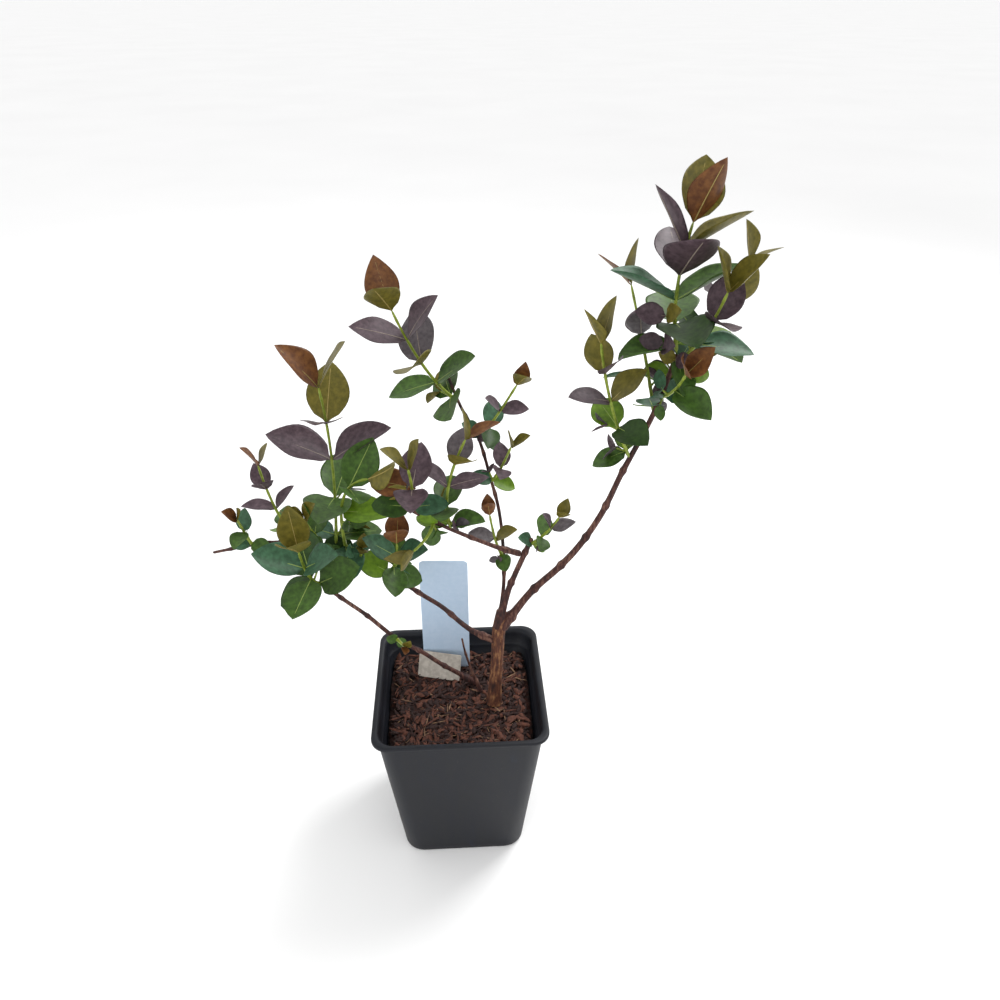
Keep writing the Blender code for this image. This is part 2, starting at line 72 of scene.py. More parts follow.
def facing(back, place):
    """Matrix of a camera or lamp at a place in mm. It looks along minus back, with its right side level."""
    right = unit(np.cross((0, 0, 1), back))
    up = np.cross(back, right)
    axes = np.stack((right, up, back), 1).tolist()
    return Matrix([[*row, part * MM] for row, part in zip(axes, place)] + [[0, 0, 0, 1]])


def set_camera():
    """The direction back from the view is worked out from the camera's turn and drop."""
    turn, drop = math.radians(CAMERA_TURN), math.radians(CAMERA_DROP)
    back = np.array((math.sin(turn) * math.cos(drop), -math.cos(turn) * math.cos(drop), math.sin(drop)))
    data = bpy.data.cameras.new("camera")
    data.lens = CAMERA_LENS
    data.sensor_width = 36.0
    data.clip_start = 0.01
    camera = bpy.data.objects.new("camera", data)
    bpy.context.scene.collection.objects.link(camera)
    camera.matrix_world = facing(back, CAMERA_PLACE)
    bpy.context.scene.camera = camera
    print("camera at", CAMERA_PLACE, "mm")


set_camera()

# %% [markdown]
# Every material is a Principled shader. One helper adds a node with its settings and
# links, and one turns the hex colours of a paint chart into the linear light that the
# shader works in.

# %% Colours and nodes
def linear(code):
    """sRGB hex to linear light: c / 12.92 below 0.04045, else ((c + 0.055) / 1.055) ** 2.4."""
    channels = [int(code[i:i + 2], 16) / 255 for i in (1, 3, 5)]
    return (*[c / 12.92 if c <= 0.04045 else ((c + 0.055) / 1.055) ** 2.4 for c in channels], 1.0)


def add_node(tree, kind, settings=None, **inputs):
    """A node of a kind, with its settings, and each input given a value or the socket it is fed by.

    An input is called by its name, or by an underscore and its number.
    """
    node = tree.nodes.new(kind)
    for name, value in (settings or {}).items():
        setattr(node, name, value)
    for name, value in inputs.items():
        socket = node.inputs[int(name[1:])] if name[1:].isdigit() else node.inputs[name.replace("_", " ")]
        if isinstance(value, bpy.types.NodeSocket):
            tree.links.new(value, socket)
        else:
            socket.default_value = value
    return node


def principled(name, roughness, ior=1.5, **sockets):
    """A new material, its tree and its shader, with the constant values set on the shader itself."""
    made = bpy.data.materials.new(name)
    made.use_nodes = True
    shader = made.node_tree.nodes["Principled BSDF"]
    shader.inputs["Roughness"].default_value = roughness
    shader.inputs["IOR"].default_value = ior
    for socket, value in sockets.items():
        shader.inputs[socket.replace("_", " ")].default_value = value
    return made, made.node_tree, shader


print("white as linear light", linear("#ffffff"))

# %% [markdown]
# Most finishes vary by noise. It is laid over Object coordinates, so its lumps have a real
# size in millimetres. A ramp turns it into colour and a Bump node into fine relief.

# %% Patterns
def ramp(tree, factor, *stops):
    """Colour ramp through (position, hex) stops."""
    node = add_node(tree, "ShaderNodeValToRGB", None, Fac=factor)
    bar = node.color_ramp
    while len(bar.elements) < len(stops):
        bar.elements.new(0.5)
    for element, (position, code) in zip(bar.elements, stops):
        element.position = position
        element.color = linear(code)
    return node.outputs["Color"]


def noise(tree, size_mm, detail=4.0, stretch=(1, 1, 1), rough=0.55):
    """Noise over Object coordinates whose lumps are about size_mm across."""
    place = add_node(tree, "ShaderNodeTexCoord")
    scaled = add_node(tree, "ShaderNodeMapping", None, Vector=place.outputs["Object"], Scale=stretch)
    made = add_node(tree, "ShaderNodeTexNoise", None, Vector=scaled.outputs["Vector"],
                    Scale=1 / (size_mm * MM), Detail=detail, Roughness=rough)
    return made.outputs["Fac"]


def bump(tree, shader, height, depth_mm, strength=1.0):
    """Surface relief depth_mm deep from a height between 0 and 1."""
    node = add_node(tree, "ShaderNodeBump", None, Height=height, Distance=depth_mm * MM, Strength=strength)
    tree.links.new(node.outputs["Normal"], shader.inputs["Normal"])


def plain_tissue(name, low, high, roughness):
    """Even matt or satin stuff: two close tones in a fine mottle, and barely any relief."""
    made, tree, shader = principled(name, roughness, 1.42)
    tree.links.new(ramp(tree, noise(tree, 2.5, 3), (0.4, low), (0.65, high)), shader.inputs["Base Color"])
    bump(tree, shader, noise(tree, 0.6, 2), 0.03, 0.4)
    return made


print("patterns: noise in mm, colour ramp, relief")

# %% [markdown]
# The pot is injection moulded polypropylene, nearly black with a blue cast. Handling has
# left fine pale scuffs and dry specks of compost, so its colour and gloss vary a little.

# %% Pot plastic
SCUFF_SIZE = 9.0        # mm
SPECK_SIZE = 1.1
GLOSS = (0.42, 0.62)    # roughness of the plain and of the scuffed plastic


def black_polypropylene():
    """Semi-gloss moulded plastic: fine orange-peel relief, long faint scuffs and dusty specks."""
    made, tree, shader = principled("black_polypropylene_moulded", GLOSS[0], 1.49, Specular_IOR_Level=0.35)
    scuffs = noise(tree, SCUFF_SIZE, 6, (1, 1, 0.25), 0.7)
    colour = ramp(tree, scuffs, (0.35, "#0a0c13"), (0.62, "#0f121b"), (0.8, "#1c2331"))
    dust = ramp(tree, noise(tree, SPECK_SIZE, 2), (0.70, "#000000"), (0.76, "#ffffff"))
    mixed = add_node(tree, "ShaderNodeMix", {"data_type": "RGBA"}, _0=dust, _6=colour, _7=linear("#2e2b2a"))
    tree.links.new(mixed.outputs[2], shader.inputs["Base Color"])
    gloss = add_node(tree, "ShaderNodeMapRange", None, Value=scuffs, _3=GLOSS[0], _4=GLOSS[1])
    tree.links.new(gloss.outputs["Result"], shader.inputs["Roughness"])
    bump(tree, shader, noise(tree, 0.9, 3), 0.03, 0.5)
    print("made", made.name)
    return made


POT_PLASTIC = black_polypropylene()

# %% [markdown]
# Old honeyberry wood is dark red-brown with thin bark that splits lengthwise, tan where it
# has peeled from the trunk. The relief is in the mesh, and the colour follows fine streaks.

# %% Bark
STREAK_SIZE = 1.3               # mm across, and drawn out along the vertical
STREAK_STRETCH = (1, 1, 0.16)
STREAK_SHARE = 0.6
PATCH_SHARE = 0.42


def bark(name, dark, middle, pale, patch_mm):
    """Peeling bark: streaks drawn out along the vertical over patches of older and fresher bark."""
    made, tree, shader = principled(name, 0.82, 1.5)
    streaks = noise(tree, STREAK_SIZE, 6, STREAK_STRETCH, 0.65)
    patches = add_node(tree, "ShaderNodeMath", {"operation": "MULTIPLY"}, _0=noise(tree, patch_mm, 4),
                       _1=PATCH_SHARE)
    mixed = add_node(tree, "ShaderNodeMath", {"operation": "MULTIPLY_ADD"}, _0=streaks, _1=STREAK_SHARE,
                     _2=patches.outputs[0])
    colour = ramp(tree, mixed.outputs[0], (0.40, dark), (0.52, middle), (0.66, pale))
    tree.links.new(colour, shader.inputs["Base Color"])
    bump(tree, shader, streaks, 0.25, 0.8)
    print("made", name)
    return made


TRUNK_BARK = bark("bark_peeling_trunk", "#2a140d", "#5c3320", "#a87b50", 7)
BOUGH_BARK = bark("bark_red_brown", "#1f0d0c", "#43211b", "#7d5a4a", 9)

# %% [markdown]
# Leaf tints have a place on the bush: old leaves are green, young ones bronze, and cold
# has flushed some purple-grey. Each tint is a plain material that whole leaves are dealt.
# Within a leaf only a fine mottle without a place varies it.

# %% Leaf tissue
LEAF_TINTS = {
    "green": ("#324a1b", "#486827"),
    "blue_green": ("#2c4a33", "#40674a"),
    "dark_green": ("#223a12", "#33501b"),
    "bright_green": ("#4c690e", "#67881a"),
    "olive": ("#544f16", "#716724"),
    "bronze": ("#58331a", "#7a4f28"),
    "purple": ("#3a2b32", "#56454c"),
    "grey_purple": ("#463f43", "#615a5d"),
}
VEIN_TINTS = {
    "green": ("#839848", "#93a854"),
    "young": ("#958348", "#a59354"),
    "purple": ("#7e7167", "#8e8177"),
}


def leaf_material(tint):
    """Waxy leaf blade: two close tones in a fine mottle, and soft relief."""
    low, high = LEAF_TINTS[tint]
    made, tree, shader = principled(f"leaf_blade_{tint}", 0.5, 1.42, Specular_IOR_Level=0.36)
    tree.links.new(ramp(tree, noise(tree, 2.2, 5), (0.35, low), (0.68, high)), shader.inputs["Base Color"])
    bump(tree, shader, noise(tree, 1.6, 3), 0.12, 0.5)
    return made


BLADES = {tint: leaf_material(tint) for tint in LEAF_TINTS}
VEINS = {kind: plain_tissue(f"midrib_{kind}", *codes, 0.5) for kind, codes in VEIN_TINTS.items()}
print(len(BLADES), "leaf tints and", len(VEINS), "midrib tints")

# %% [markdown]
# A surface is a grid of points. This helper closes the grid where it should close and
# writes it with foreach_set, which takes whole arrays. Many small surfaces that share a
# grid are joined by stacking their arrays.

# %% Grids to meshes
def grid_faces(rows, columns, wrap):
    """Quads of a rows x columns grid as an index array. With wrap the last column meets the first."""
    across = columns if wrap else columns - 1
    i, j = np.meshgrid(np.arange(rows - 1), np.arange(across), indexing="ij")
    after = (j + 1) % columns
    corners = (i * columns + j, i * columns + after, (i + 1) * columns + after, (i + 1) * columns + j)
    return np.stack(corners, -1).reshape(-1, 4)


def repeated(points, quads):
    """Quads of many equal grids whose points are stacked along the first axis."""
    count, each = len(points), points[0].size // 3
    return (quads[None] + each * np.arange(count)[:, None, None]).reshape(-1, 4)


def mesh_piece(name, points, quads, finish, slot, *replaced):
    """Object from points in millimetres and quads. It rides on the plant and may replace CAD nodes."""
    mesh = bpy.data.meshes.new(name)
    points = np.asarray(points, float).reshape(-1, 3) * MM
    mesh.vertices.add(len(points))
    mesh.vertices.foreach_set("co", points.ravel())
    mesh.loops.add(quads.size)
    mesh.loops.foreach_set("vertex_index", quads.ravel().astype(np.int32))
    mesh.polygons.add(len(quads))
    mesh.polygons.foreach_set("loop_start", np.arange(0, quads.size, 4, dtype=np.int32))
    mesh.update(calc_edges=True)
    mesh.validate()
    mesh.shade_smooth()
    made = bpy.data.objects.new(name, mesh)
    bpy.context.scene.collection.objects.link(made)
    mesh.materials.append(finish)
    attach(made, "root")
    if replaced:
        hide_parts(*replaced)
    print(name, len(quads), "quads")
    return made


# %% [markdown]
# Limbs follow smooth curves through a few places, the ones that the solids were made
# from, so the bark lies where the solid wood does.

# %% Limbs of the bush
SOIL_TOP = 84.0
TRUNK_PATH = ((18, -4, SOIL_TOP + GAP), (19.2, -4, 100), (20.3, -2, 117), (21.4, 0, 131), (23, 2, 144))
TRUNK_SHAPE = ((0.0, 4.6), (0.07, 3.9), (0.2, 3.2), (0.5, 3.0), (0.8, 3.1), (1.0, 3.9))    # share, radius
Limb = namedtuple("Limb", "seat foot_radius tip_radius path")
# A limb that stands on the fork has a seat, its place across the fork's flat top.
# Any other starts in the soil or leaves the side of another limb.
LIMBS = {
    "bough_right": Limb((1.95, -0.1), 1.85, 1.05, (
        (37, 1, 155), (50, -2, 172), (60, -4, 187), (69, -7, 207), (76, -10, 230), (84, -12, 252),
        (89, -13, 268), (94, -13, 288))),
    "stem_centre": Limb((-2.0, -0.5), 1.7, 1.25, (
        (26, 1, 157), (29, 0, 167), (33, -1, 179), (37, -2, 191))),
    "stem_back": Limb((-0.3, 2.5), 0.95, 0.75, (
        (24.5, 10, 160), (23, 18, 190), (18, 26, 211), (13, 32, 228), (5, 38, 242), (-1, 44, 256))),
    "bough_mid_left": Limb(None, 1.0, 0.75, (
        (32, -1, 181), (18, -6, 190), (-1, -12, 204), (-14, -18, 216), (-18, -20, 220))),
    "bough_low_left": Limb(None, 1.35, 0.7, (
        (20.8, 0, 124), (6, 2, 132), (-7, 4, 145), (-17, 6, 152), (-35, 10, 164), (-48, 13, 170),
        (-60, 17, 175), (-79, 22, 176), (-95, 26, 174), (-112, 28, 170), (-126, 30, 166))),
    "bough_ground_left": Limb(None, 1.3, 0.85, (
        (9, 11, SOIL_TOP + GAP), (0, 6, 97), (-9, 1, 109), (-19, -3, 122), (-31, -8, 136),
        (-43, -14, 156), (-52, -20, 171), (-61, -26, 186))),
    "twig_dead": Limb(None, 0.8, 0.5, (
        (12, 4, SOIL_TOP + GAP), (8, 5, 96), (4, 4, 112), (2, 2, 126))),
}
print(len(LIMBS), "boughs and stems on the trunk and in the soil")

# %% [markdown]
# A tube carries a circle along a curve. The circle's frame turns no more than the curve
# does, so the bark's streaks don't twist.

# %% Paths and tubes
FINE_STEP = 0.3         # mm between the points from which an even path is read


def smooth_path(points, step):
    """Catmull-Rom curve: from b to c it is the cubic with the slopes (c - a) / 2 and (d - b) / 2 there."""
    points = np.asarray(points, float)
    ends = np.vstack((2 * points[0] - points[1], points, 2 * points[-1] - points[-2]))
    pieces = []
    for a, b, c, d in zip(ends, ends[1:], ends[2:], ends[3:]):
        count = max(1, round(np.linalg.norm(c - b) / step))
        t = (np.arange(count) / count)[:, None]
        cubic = 2 * b + (c - a) * t + (2 * a - 5 * b + 4 * c - d) * t**2 + (3 * b - a - 3 * c + d) * t**3
        pieces.append(0.5 * cubic)
    return np.vstack(pieces + [points[-1:]])


def travelled(path):
    """Length along the path at each of its points."""
    return np.concatenate(([0], np.cumsum(np.linalg.norm(np.diff(path, axis=0), axis=1))))


def resampled(points, step):
    """A smooth path with evenly spaced points."""
    fine = smooth_path(points, FINE_STEP)
    length = travelled(fine)
    wanted = np.linspace(0, length[-1], max(4, round(length[-1] / step)))
    return np.stack([np.interp(wanted, length, fine[:, axis]) for axis in range(3)], 1)


def tube(path, radii, sides):
    """Rings round a path, each square to the path's heading. radii has one value a ring, or one a point.

    Ring i, side k: path[i] + radii * (cos(angle k) * across + sin(angle k) * other), where across starts
    anywhere square to the path and is carried along it without twist.
    """
    headings = unit(np.gradient(path, axis=0))
    across = unit(np.cross(headings[0], (0.31, 0.87, 0.39)))
    frames = []
    for heading in headings:
        across = unit(across - heading * np.dot(across, heading))
        frames.append((across, np.cross(heading, across)))
    frames = np.array(frames)
    angle = np.linspace(0, 2 * math.pi, sides, endpoint=False)[None, :, None]
    radii = np.asarray(radii, float)
    radii = radii[:, None, None] if radii.ndim == 1 else radii[:, :, None]
    return path[:, None] + radii * (np.cos(angle) * frames[:, None, 0] + np.sin(angle) * frames[:, None, 1])


print("trunk's path is", round(travelled(resampled(TRUNK_PATH, 1.0))[-1]), "mm long")

# %% [markdown]
# Bark relief is a sum of a few waves round and along the limb. The boughs also swell every
# few centimetres, where old leaf pairs stood. The trunk is too old to show them.

# %% Bark relief
BARK_SIDES = 28
BARK_STEP = 0.7         # mm between rings
BARK_WAVES = ((2, 31), (3, 17), (5, 11), (8, 6.5), (11, 3.9))   # lobes round the limb, mm along it
WAVE_BEND = 0.9         # how far the lobes wander round the limb, radians
WAVE_FINE = 0.4         # share of the finer wave along the limb
BARK_END = 0.8          # mm over which a limb's end closes
FIRST_NODE = 9.0        # mm from a limb's foot
NODE_SPACING = 21.0
NODE_REACH = 1.6
NODE_SWELL = 0.34


def bark_waves(name, along):
    """Sum over the waves of sin(lobes * angle + sin(along / wave)) and of a finer wave along the limb."""
    draw = np.random.default_rng(SEED + sum(map(ord, name)))
    angle = np.linspace(0, 2 * math.pi, BARK_SIDES, endpoint=False)[None]
    relief = np.zeros((len(along), BARK_SIDES))
    for lobes, wave in BARK_WAVES:
        shift, drift = draw.uniform(0, 6.28, 2)
        bend = WAVE_BEND * np.sin(along / wave + drift)
        relief += np.sin(lobes * angle + shift + bend) / math.sqrt(lobes)
        relief += WAVE_FINE * np.sin(along / wave * 6.28 + lobes * angle + drift) / lobes
    return relief


def bark_tube(name, path, radii, depth, has_nodes):
    """Limb surface: radius = taper * (1 + swelling at each node + depth * the bark's waves)."""
    along = travelled(path)[:, None]
    whole = along[-1, 0]
    nodes = np.arange(FIRST_NODE, whole + 1, NODE_SPACING)
    swell = np.exp(-((along - nodes[None]) / NODE_REACH)**2).sum(1, keepdims=True) if has_nodes else 0.0
    ends = np.clip(np.minimum(along, whole - along) / BARK_END, 0, 1)**0.5
    taper = np.asarray(radii)[:, None] * ends
    return tube(path, taper * (1 + NODE_SWELL * swell + depth * bark_waves(name, along)), BARK_SIDES)


print("bark relief of", len(BARK_WAVES), "waves")

# %% [markdown]
# The trunk narrows at its top, under the boughs that spring from it. Each of those starts
# deep inside the trunk, so the wood looks whole at the fork.

# %% Trunk
TRUNK_RELIEF = 0.13     # bark's depth as a share of the radius
TOP_START = 0.82        # share of the trunk's height where the top starts to narrow
TOP_NARROWS = 1.5       # mm


def make_trunk():
    """Trunk surface on the trunk's path, and that path for the boughs to start from."""
    path = resampled(TRUNK_PATH, BARK_STEP)
    shares = np.linspace(0, 1, len(path))
    radii = np.interp(shares, *zip(*TRUNK_SHAPE))
    radii -= TOP_NARROWS * np.clip((shares - TOP_START) / (1 - TOP_START), 0, 1)
    surface = bark_tube("trunk", path, radii, TRUNK_RELIEF, False)
    mesh_piece("trunk_bark", surface, grid_faces(*surface.shape[:2], True), TRUNK_BARK, "bark", "trunk")
    return path


TRUNK = make_trunk()

# %% [markdown]
# All the boughs are one mesh. A bough is thicker over its first centimetre, where it
# flares into the wood it leaves.

# %% Boughs
BOUGH_RELIEF = 0.07
SEAT_SQUEEZE = 0.55     # seats move in towards the trunk's middle, because the trunk narrows
SEAT_DEPTH = 11.0       # mm below the trunk's top
FOOT_SWELL = 0.5
FOOT_REACH = 13.0       # mm


def bough_start(seat):
    """Place inside the trunk from which a bough on the fork starts."""
    up = unit(TRUNK[-1] - TRUNK[-4])
    right = unit(np.cross((0, 1, 0), up))
    back = np.cross(up, right)
    return TRUNK[-1] + (seat[0] * right + seat[1] * back) * SEAT_SQUEEZE - SEAT_DEPTH * up


def make_boughs():
    """Each bough: a taper from foot to tip, times 1 + swell * exp(-(distance / reach) ** 2)."""
    points, quads, base = [], [], 0
    for name, limb in LIMBS.items():
        places = (bough_start(limb.seat), *limb.path) if limb.seat else limb.path
        path = resampled(places, BARK_STEP)
        sizes = np.linspace(limb.foot_radius, limb.tip_radius, len(path))
        sizes *= 1 + FOOT_SWELL * np.exp(-(np.arange(len(path)) * BARK_STEP / FOOT_REACH)**2)
        surface = bark_tube(name, path, sizes, BOUGH_RELIEF, True)
        points.append(surface.reshape(-1, 3))
        quads.append(grid_faces(*surface.shape[:2], True) + base)
        base += len(points[-1])
    mesh_piece("bough_bark", np.vstack(points), np.vstack(quads), BOUGH_BARK, "bark", *LIMBS)


make_boughs()

# %% [markdown]
# A shoot is one green stem with pairs of leaves. The table gives each stem's place and how
# leafy it is, and the rule below does the rest.

# %% Shoots of the bush
Shoot = namedtuple("Shoot", "path pairs leaf roll twigs flushed")
# path: foot, bend and tip of the stem. pairs: pairs of leaves. leaf: longest leaf, mm.
# roll: the lowest pair's turn about the stem from the left-right line, degrees.
# twigs: side twigs with small leaves. flushed: the upper leaves are purple and olive.
SHOOTS = {
    "shoot_leader": Shoot(((94, -13, 288), (91, -13, 314), (96, -8, 341)), 6, 31, 0, 2, True),
    "shoot_right_front": Shoot(((93, -13, 283), (101, -22, 299), (106, -30, 320)), 4, 23, 80, 2, True),
    "shoot_right_back": Shoot(((91, -13, 275), (115, 12, 291), (136, 34, 313)), 4, 22, 70, 2, True),
    "shoot_right_inner": Shoot(((87, -13, 261), (84, -2, 281), (77, 10, 312)), 4, 20, 90, 2, True),
    "shoot_right_low": Shoot(((79, -11, 238), (67, -20, 269), (60, -24, 299)), 5, 20, 20, 2, True),
    "shoot_right_heart": Shoot(((89, -13, 269), (91, -25, 277), (92, -36, 289)), 3, 19, 30, 2, False),
    "shoot_top_left": Shoot(((3, 39, 245), (-12, 35, 265), (-25, 26, 297)), 5, 27, 90, 1, True),
    "shoot_centre": Shoot(((-1, -12, 204), (-2, -16, 228), (7, -18, 255)), 5, 19, 0, 2, True),
    "shoot_back_high": Shoot(((13, 32, 228), (20, 26, 240), (31, 14, 265)), 4, 15, 0, 2, True),
    "shoot_back_mid": Shoot(((19, 24, 208), (23, 18, 218), (28, 12, 234)), 3, 15, 0, 1, True),
    "shoot_back_low": Shoot(((24, 13, 170), (20, 6, 185), (17, 2, 203)), 3, 13, 90, 1, True),
    "shoot_spur": Shoot(((36, -2, 187), (43, -6, 196), (49, -10, 208)), 4, 12, 0, 1, True),
    "shoot_left_high": Shoot(((-60, 17, 175), (-56, 13, 226), (-57, 6, 270)), 5, 30, 0, 2, True),
    "shoot_left_front": Shoot(((-54, 15, 172), (-51, 0, 214), (-36, -12, 232)), 4, 25, 90, 2, False),
    "shoot_mid_tip": Shoot(((-18, -20, 220), (-17, -26, 234), (-18, -30, 247)), 3, 20, 0, 2, True),
    "shoot_mid_under": Shoot(((-9, -16, 211), (-12, -25, 209), (-18, -33, 207)), 2, 14, 0, 1, False),
    "shoot_far_left": Shoot(((-79, 22, 176), (-88, 24, 194), (-93, 22, 223)), 5, 16, 20, 2, True),
    "shoot_far_tip": Shoot(((-104, 27, 172), (-104, 18, 186), (-104, 10, 199)), 3, 13, 0, 1, False),
    "shoot_low_left": Shoot(((-61, -26, 186), (-64, -34, 197), (-65, -42, 216)), 4, 26, 0, 2, False),
    "shoot_left_inner": Shoot(((-66, 18, 176), (-67, 6, 191), (-69, -4, 206)), 3, 17, 0, 2, False),
    "shoot_cluster": Shoot(((-35, 10, 164), (-29, -2, 179), (-27, -8, 195)), 4, 20, 0, 2, False),
    "shoot_low_small": Shoot(((-48, 13, 170), (-46, 4, 180), (-44, -2, 188)), 2, 11, 0, 0, False),
    "shoot_ground_small": Shoot(((-31, -8, 136), (-28, -14, 138), (-26, -20, 141)), 2, 8, 0, 0, False),
}
print(len(SHOOTS), "shoots")

# %% [markdown]
# Shoots follow one rule: leaves stand in opposite pairs, each pair a quarter turn on from
# the last, the oldest nearly level and the youngest upright at the tip.

# %% Pairs of leaves
OPEN_LOW = 84.0         # angle between the stem and its lowest pair of leaves, degrees
OPEN_TOP = 20.0         # the same for the upright pair at the tip
FIRST_PAIR = 0.08       # the lowest pair's place along the stem, as a share of it
PAIRS_SPAN = 0.89       # share of the stem between the lowest and the highest pair
TURN_SPREAD = 0.25      # how far a leaf strays round the stem, radians
LEAN_SPREAD = 9.0       # the same for its angle with the stem, degrees
SIZE_RANGE = (0.88, 1.06)
CURL_RANGE = (0.02, 0.14)
Leaf = namedtuple("Leaf", "root along up length width curl age")
# curl: drop of the tip as a share of the length. age: the leaf's place on the stem, from
# the oldest at 0 to the youngest at 1.


def stem_point(path, t):
    """Point and heading at the share t of a shoot's stem, a quadratic curve through foot, bend and tip."""
    foot, bend, tip = (np.asarray(p, float) for p in path)
    bend = 2 * bend - (foot + tip) / 2
    point = (1 - t)**2 * foot + 2 * t * (1 - t) * bend + t**2 * tip
    return point, unit(2 * (1 - t) * (bend - foot) + 2 * t * (tip - bend))


def across_stem(heading):
    """Two directions square to a stem's heading, the first from side to side."""
    level = unit(np.cross((0, 1, 0.2), heading))
    return level, np.cross(heading, level)


def pair_of_leaves(point, heading, roll, angle, length, width, age, draw):
    """Two opposite leaves of one node: each leans out from the stem by the given angle."""
    level, other = across_stem(heading)
    pair = []
    for half_turn in (0.0, math.pi):
        turn = math.radians(roll) + half_turn + draw.uniform(-TURN_SPREAD, TURN_SPREAD)
        out = math.cos(turn) * level + math.sin(turn) * other
        lean = math.radians(angle + draw.uniform(-LEAN_SPREAD, LEAN_SPREAD))
        along = unit(math.cos(lean) * heading + math.sin(lean) * out)
        size = draw.uniform(*SIZE_RANGE)
        curl = draw.uniform(*CURL_RANGE)
        pair.append(Leaf(point, along, heading - 0.1 * out, size * length, size * width, curl, age))
    return pair


def leaves_of(shoot, draw):
    """Leaf pairs up the stem. They are longest at its middle, and narrower towards its tip."""
    leaves = []
    for k in range(shoot.pairs):
        t = FIRST_PAIR + PAIRS_SPAN * k / max(1, shoot.pairs - 1)
        point, heading = stem_point(shoot.path, t)
        angle = OPEN_LOW + (OPEN_TOP - OPEN_LOW) * t**1.5
        share = 0.8 + 0.9 * t * (1 - t) if t < 0.5 else 1.03 - 0.1 * (2 * t - 1)
        length = shoot.leaf * share
        width = length * (0.58 - 0.1 * t)
        leaves += pair_of_leaves(point, heading, shoot.roll + 90 * k, angle, length, width, t, draw)
    return leaves


print(sum(2 * shoot.pairs for shoot in SHOOTS.values()), "leaves on the main stems")

# %% [markdown]
# Short side twigs fill the crown. Each grows from a low leaf axil and carries one pair of
# small leaves.

# %% Side twigs
TWIG_SPACING = 0.2      # share of the stem between two twigs
TWIG_OPEN = 50.0        # angle between a twig and its leaves, degrees
TWIG_LEAF_WIDTH = 0.55  # share of the leaf's length
TWIG_LEAF_AGE = 0.5
TWIG_TURNS = (40, 140, 220, 320)    # degrees round the stem from its pair of leaves
TWIG_LENGTH = (0.2, 0.3)            # share of the shoot's longest leaf
TWIG_LEAF = (0.36, 0.46)            # the same for the twig's leaves


def side_twigs(shoot, draw):
    """Each twig as its foot, its tip, its leaves' length and their roll."""
    twigs = []
    for k in range(shoot.twigs):
        point, heading = stem_point(shoot.path, FIRST_PAIR + TWIG_SPACING * k)
        turn = math.radians(shoot.roll + 90 * k + draw.choice(TWIG_TURNS))
        level, other = across_stem(heading)
        out = math.cos(turn) * level + math.sin(turn) * other
        tip = point + draw.uniform(*TWIG_LENGTH) * shoot.leaf * unit(out + 0.6 * heading)
        twigs.append((point, tip, draw.uniform(*TWIG_LEAF) * shoot.leaf, math.degrees(turn) + 90))
    return twigs


def twig_leaves(twig, draw):
    """The pair of small leaves at a twig's tip."""
    point, tip, size, roll = twig
    return pair_of_leaves(tip, unit(tip - point), roll, TWIG_OPEN, size, TWIG_LEAF_WIDTH * size,
                          TWIG_LEAF_AGE, draw)


print(sum(shoot.twigs for shoot in SHOOTS.values()), "side twigs")

# %% [markdown]
# On a real bush leaves find room between one another. Here a leaf that would cut a limb or
# another leaf swings aside, or is left out. A search tree of triangles tells which do.

# %% Room for each leaf
TURNS_TRIED = (0, 14, -14, 28, -28, 42, -42)    # degrees
LEAF_ROOT = 1.5         # mm of a leaf's foot that may touch the stem


def turned(leaf, degrees):
    """The leaf swung about the up direction through its root."""
    angle = math.radians(degrees)
    x, y, z = leaf.along
    swung = (x * math.cos(angle) - y * math.sin(angle), x * math.sin(angle) + y * math.cos(angle), z)
    return leaf._replace(along=np.array(swung))


def coarse_tree(leaf):
    """Search tree of a leaf as a flat kite, GAP larger than the blade all round."""
    up = unit(leaf.up - leaf.along * np.dot(leaf.up, leaf.along))
    side = np.cross(leaf.along, up)
    half = leaf.width / 2 + GAP
    middle = leaf.root + leaf.along * leaf.length * 0.5 - up * leaf.curl * leaf.length * 0.25
    tip = leaf.root + leaf.along * (leaf.length + GAP) - up * leaf.curl * leaf.length
    root = leaf.root + leaf.along * LEAF_ROOT
    corners = [root, middle - side * half, tip, middle + side * half]
    return BVHTree.FromPolygons([tuple(c) for c in corners], [(0, 1, 3), (1, 2, 3)])


def node_points(name):
    """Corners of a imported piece, in millimetres."""
    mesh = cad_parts[name].data
    places = np.empty(len(mesh.vertices) * 3)
    mesh.vertices.foreach_get("co", places)
    return places.reshape(-1, 3) / MM


def node_tree(name):
    """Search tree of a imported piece."""
    faces = [tuple(face.vertices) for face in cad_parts[name].data.polygons]
    return BVHTree.FromPolygons(node_points(name).tolist(), faces)


def keep_clear(leaf, blocked):
    """The leaf in the first turn that cuts nothing, added to what is blocked, or None."""
    for degrees in TURNS_TRIED:
        trial = turned(leaf, degrees)
        tree = coarse_tree(trial)
        if not any(tree.overlap(other) for other in blocked):
            blocked.append(tree)
            return trial
    return None


print("a leaf tries", len(TURNS_TRIED), "turns")

# %% [markdown]
# Now every shoot grows from the same rule. Each has a random stream of its own, named
# after it, so a change to one shoot leaves the others as they were.

# %% Grow the shoots
STEM_RINGS = 22
STEM_RADII = (0.85, 0.5)        # mm at the foot and the tip
TWIG_RADII = (0.5, 0.35)


